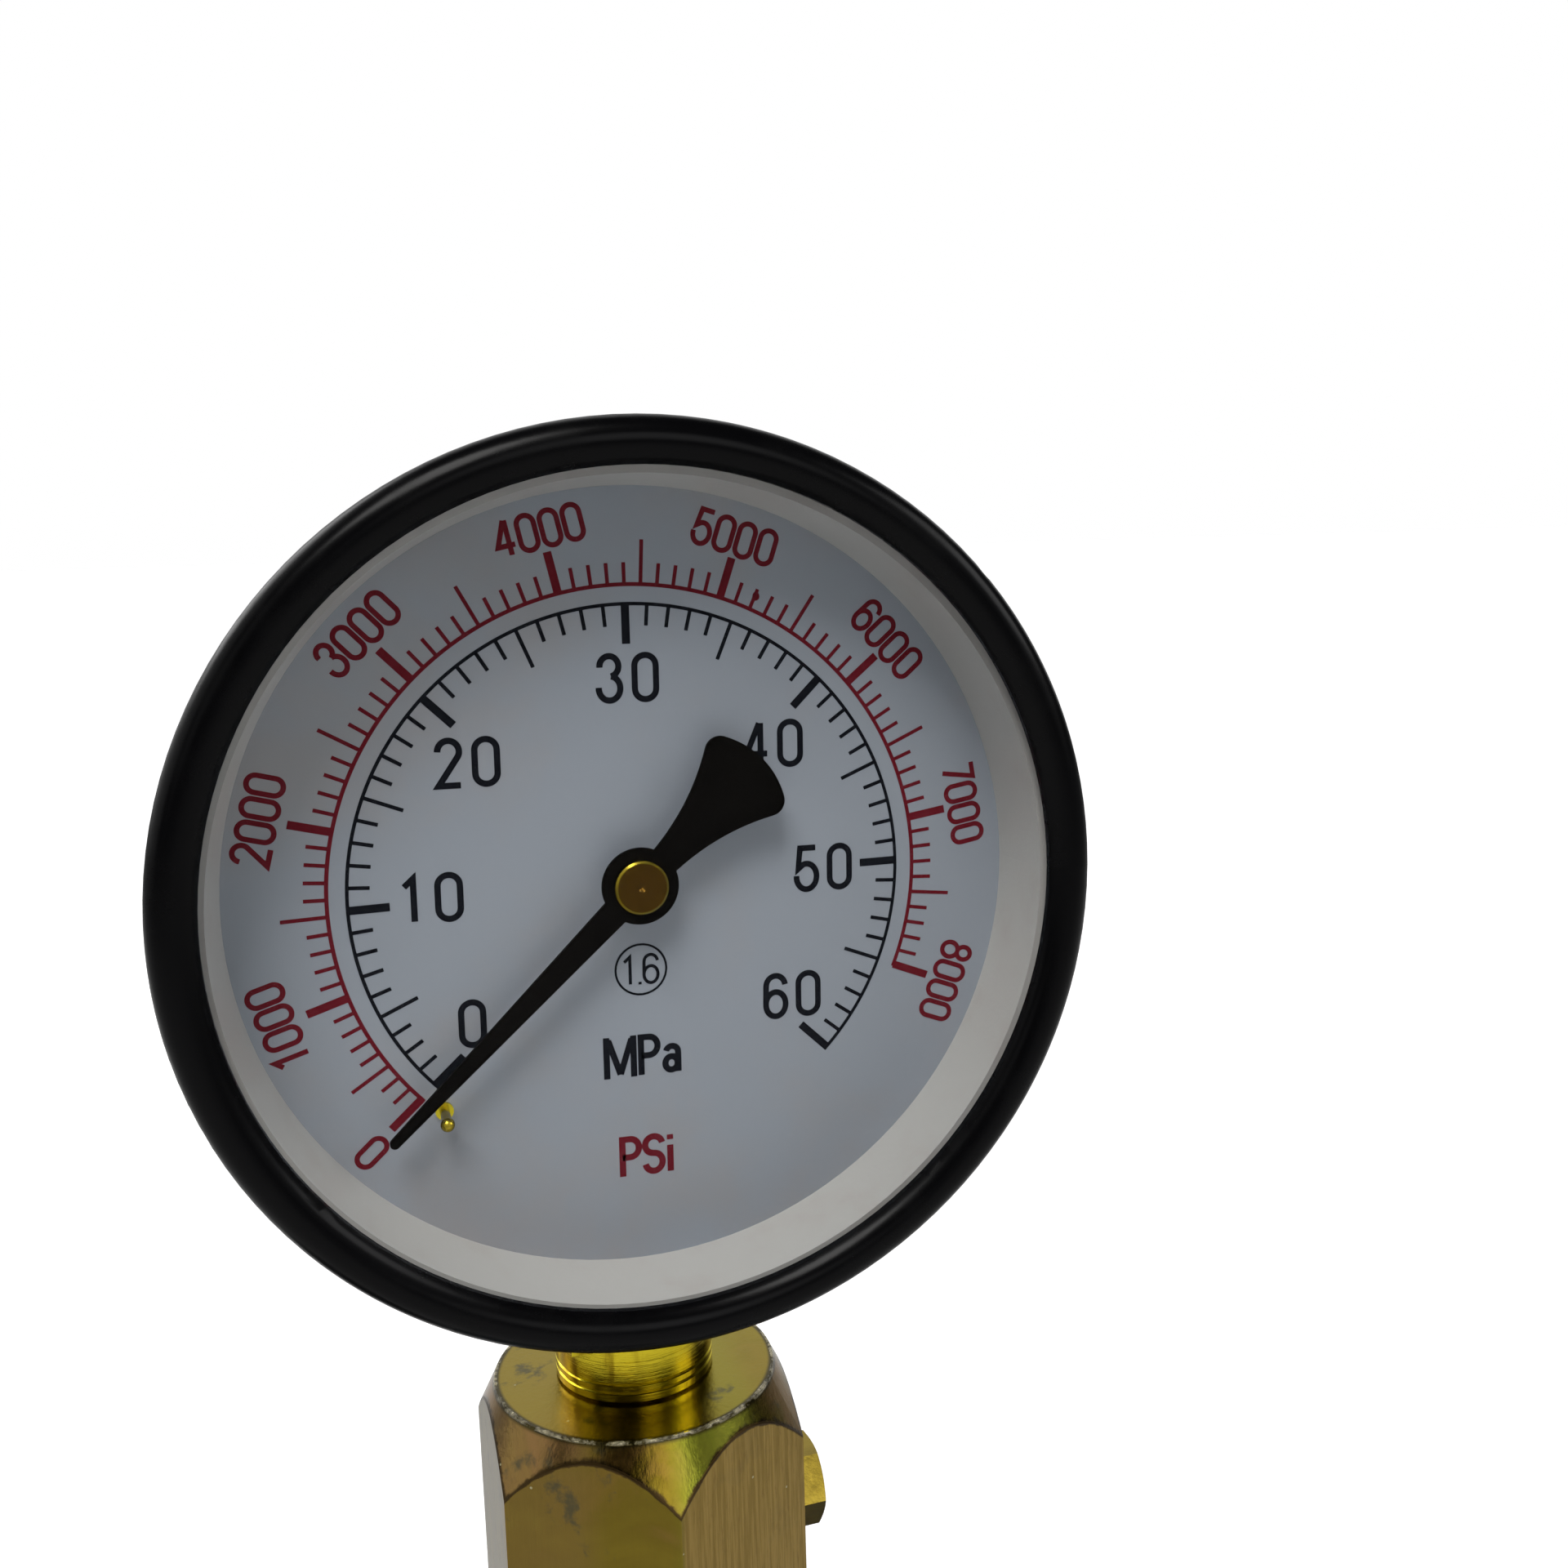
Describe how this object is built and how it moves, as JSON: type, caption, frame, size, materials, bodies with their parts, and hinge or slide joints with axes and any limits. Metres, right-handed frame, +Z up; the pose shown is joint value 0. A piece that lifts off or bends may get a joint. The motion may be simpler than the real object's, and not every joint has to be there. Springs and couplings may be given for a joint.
{
  "type": "injector nozzle tester",
  "caption": "Bench tester for diesel injector nozzles: hand lever pump with fuel cup, stop valve and outlet, and a round pressure gauge on a hexagonal pillar.",
  "frame": {"origin": "middle of the foot's underside, which rests on the bench", "axes": "+Z up along the gauge pillar, +X towards the pump lever, the dial faces -Y"},
  "size_m": [0.4096, 0.112, 0.309],
  "materials": {
    "cast_paint": "hammered paint on cast iron",
    "zinc_pillar": "yellow passivated zinc on steel",
    "zinc_screw": "yellow passivated zinc on steel",
    "black_seal": "black bonded seal",
    "hard_steel": "ground steel",
    "spring_steel": "spring steel",
    "plated_steel": "bright zinc plate",
    "copper_ring": "soft copper",
    "packing": "graphite packing",
    "knob_black": "moulded black plastic",
    "lever_paint": "black paint on cast steel",
    "grip_rubber": "ribbed black rubber",
    "cup_metal": "turned aluminium",
    "cup_fibre": "red fibre",
    "strainer_brass": "brass gauze",
    "lid_black": "moulded black plastic",
    "case_black": "satin black paint on steel",
    "bezel_black": "gloss black paint on steel",
    "lens_glass": "clear flat glass",
    "gasket_black": "thin black rubber",
    "spacer_pale": "warm white plastic",
    "dial_white": "white lacquer with printed scales",
    "gauge_brass": "turned brass",
    "shaft_steel": "fine steel",
    "tube_bronze": "bronze tube",
    "hair_steel": "spring strip",
    "pointer_black": "matt black lacquer on aluminium"
  },
  "bodies": {
    "tester": {"pump_body": "cast_paint", "gauge_pillar": "zinc_pillar", "bleed_screw": "zinc_screw", "bleed_washer": "black_seal", "pump_barrel": "hard_steel", "delivery_seat": "hard_steel", "pivot_pin": "hard_steel", "plunger_spring": "spring_steel", "delivery_spring": "spring_steel", "pivot_clips": "spring_steel", "delivery_holder": "plated_steel", "valve_gland": "plated_steel", "outlet_nipple": "plated_steel", "reservoir_bolt": "plated_steel", "inlet_plug": "plated_steel", "case_screws": "plated_steel", "movement_screws": "plated_steel", "holder_washer": "copper_ring", "outlet_washer": "copper_ring", "stem_seal": "copper_ring", "valve_packing": "packing", "reservoir_cup": "cup_metal", "reservoir_washer": "cup_fibre", "fuel_strainer": "strainer_brass", "gauge_case": "case_black", "bezel_ring": "bezel_black", "gauge_lens": "lens_glass", "lens_gasket": "gasket_black", "spacer_ring": "spacer_pale", "dial_plate": "dial_white", "gauge_stem": "gauge_brass", "stop_pin": "gauge_brass", "tube_tip": "gauge_brass", "front_plate": "gauge_brass", "rear_plate": "gauge_brass", "movement_pillars": "gauge_brass", "bourdon_tube": "tube_bronze", "hair_spring": "hair_steel"},
    "lever": {"pump_lever": "lever_paint", "handle_tube": "plated_steel", "handle_grip": "grip_rubber", "roller_pin": "hard_steel"},
    "roller": {"lift_roller": "hard_steel"},
    "plunger": {"pump_plunger": "hard_steel", "spring_plate": "spring_steel"},
    "ball": {"delivery_ball": "hard_steel"},
    "valve": {"valve_spindle": "plated_steel", "valve_knob": "knob_black"},
    "lid": {"reservoir_lid": "lid_black"},
    "sector": {"sector_gear": "gauge_brass"},
    "link": {"tube_link": "gauge_brass"},
    "hand": {"pinion_shaft": "shaft_steel", "pointer": "pointer_black", "pointer_bush": "gauge_brass", "spring_collet": "gauge_brass"}
  },
  "joints": [
    {"name": "lever_swing", "type": "hinge", "parent": "tester", "child": "lever", "pos_m": [0.062, 0, 0.034], "axis": [0, 1, 0], "range_deg": [0, 20], "stiffness_Nm_per_rad": 3.5, "springref_deg": -14.32},
    {"name": "roller_spin", "type": "hinge", "parent": "lever", "child": "roller", "pos_m": [0.03837, 0, 0.02983], "axis": [0, 1, 0], "continuous": true},
    {"name": "plunger_lift", "type": "slide", "parent": "tester", "child": "plunger", "axis": [0, 0, 1], "range_m": [0, 0.00838], "deforming": ["plunger_spring"]},
    {"name": "ball_lift", "type": "slide", "parent": "tester", "child": "ball", "axis": [0, 0, 1], "range_m": [0, 0.001], "stiffness_N_per_m": 200, "springref_m": -0.004, "deforming": ["delivery_spring"]},
    {"name": "valve_turn", "type": "hinge", "parent": "tester", "child": "valve", "pos_m": [0, -0.036, 0.097], "axis": [0, -1, 0], "range_deg": [0, 450]},
    {"name": "lid_lift", "type": "slide", "parent": "tester", "child": "lid", "axis": [0, 0, 1], "range_m": [0, 0.04]},
    {"name": "sector_swing", "type": "hinge", "parent": "tester", "child": "sector", "pos_m": [0, -0.015, 0.234], "axis": [0, 1, 0], "range_deg": [-27.11, 0], "stiffness_Nm_per_rad": 0.05, "springref_deg": 5.73},
    {"name": "pointer_spin", "type": "hinge", "parent": "tester", "child": "hand", "pos_m": [0, -0.015, 0.254], "axis": [0, 1, 0], "range_deg": [0, 271.2]},
    {"name": "link_swing", "type": "hinge", "parent": "sector", "child": "link", "pos_m": [-0.00281, -0.015, 0.22233], "axis": [0, 1, 0], "range_deg": [0, 27.2]}
  ],
  "couplings": [
    {"joint": "plunger_lift", "follows": "lever_swing", "m_per_rad": 0.024},
    {"joint": "pointer_spin", "follows": "sector_swing", "ratio": -10},
    {"joint": "link_swing", "follows": "sector_swing", "ratio": -1}
  ]
}
